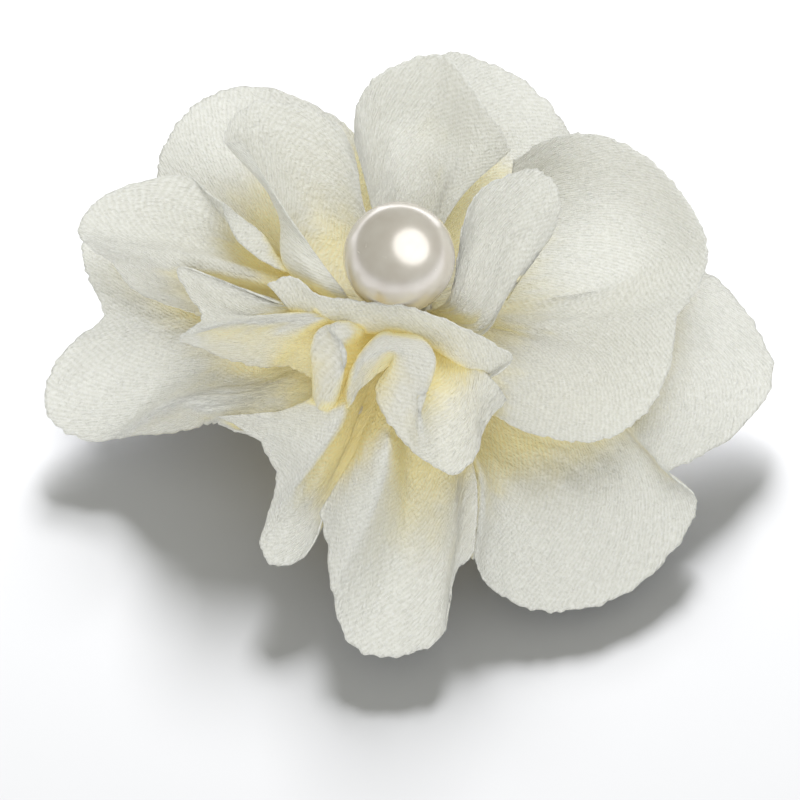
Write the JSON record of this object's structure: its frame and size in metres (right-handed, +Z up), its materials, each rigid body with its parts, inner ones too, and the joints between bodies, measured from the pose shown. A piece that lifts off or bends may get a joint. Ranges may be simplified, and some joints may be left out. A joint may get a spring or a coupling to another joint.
{
  "type": "flower hair clip",
  "caption": "Ivory fabric flower of gathered, cupped petals round a pearl, mounted on a sprung steel alligator clip for the hair.",
  "frame": {"origin": "on the flat underside of the clip's jaw, straight below the flower's stem", "axes": "+Z up out of the flower through its pearl, +X along the clip towards the tips of its jaws, the hinge turns about Y"},
  "size_m": [0.0781, 0.0727, 0.0264],
  "materials": {
    "crepe_satin": "ivory hammered crepe satin with fine sparkle",
    "pearl": "pearlescent coating on an imitation pearl",
    "nickel_steel": "bright nickel plated pressed steel",
    "spring_steel": "bright drawn spring wire",
    "stem_wire": "plain drawn wire",
    "felt": "pressed ivory felt",
    "buckram": "stiffened open-weave cotton",
    "hot_glue": "translucent hot-melt glue",
    "thread": "polyester sewing thread"
  },
  "bodies": {
    "flower": {"upper_arm": "nickel_steel", "hinge_pin": "nickel_steel", "torsion_spring": "spring_steel", "glue_pad": "hot_glue", "felt_disc": "felt", "base_disc": "buckram", "outer_petal_front": "crepe_satin", "outer_petal_right": "crepe_satin", "outer_petal_back_right": "crepe_satin", "outer_petal_back_left": "crepe_satin", "outer_petal_left": "crepe_satin", "middle_petal_front": "crepe_satin", "middle_petal_right": "crepe_satin", "middle_petal_back": "crepe_satin", "middle_petal_back_left": "crepe_satin", "middle_petal_left": "crepe_satin", "inner_petal_right": "crepe_satin", "inner_petal_front": "crepe_satin", "inner_petal_left": "crepe_satin", "inner_petal_collar": "crepe_satin", "outer_gather_thread": "thread", "middle_gather_thread": "thread", "inner_gather_thread": "thread", "pearl": "pearl", "pearl_stem": "stem_wire"},
    "jaw": {"lower_jaw": "nickel_steel"}
  },
  "joints": [
    {"name": "jaw_hinge", "type": "hinge", "parent": "flower", "child": "jaw", "pos_m": [-0.012, 0, 0.0035], "axis": [0, 1, 0], "range_deg": [0, 20], "stiffness_Nm_per_rad": 0.06, "springref_deg": -34.38, "deforming": ["torsion_spring"]}
  ]
}
